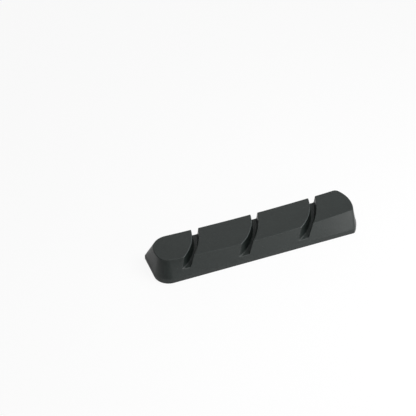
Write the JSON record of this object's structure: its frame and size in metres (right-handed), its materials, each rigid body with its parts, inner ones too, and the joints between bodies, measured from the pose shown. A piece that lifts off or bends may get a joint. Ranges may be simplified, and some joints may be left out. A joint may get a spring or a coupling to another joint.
{
  "type": "bicycle rim brake pad",
  "caption": "Long moulded rubber brake pad with a bowed friction face, slanted drain grooves and a straight rim round its back that slides into a brake shoe.",
  "frame": {"origin": "middle of the back, on the surface the pad lies on", "axes": "+X along the pad towards its round end, -Y towards the bowed long side with the groove mouths, +Z from the back to the friction face"},
  "size_m": [0.054, 0.0114, 0.006],
  "materials": {
    "rubber": "matte"
  },
  "bodies": {
    "root": {"insert": "rubber"}
  },
  "joints": []
}
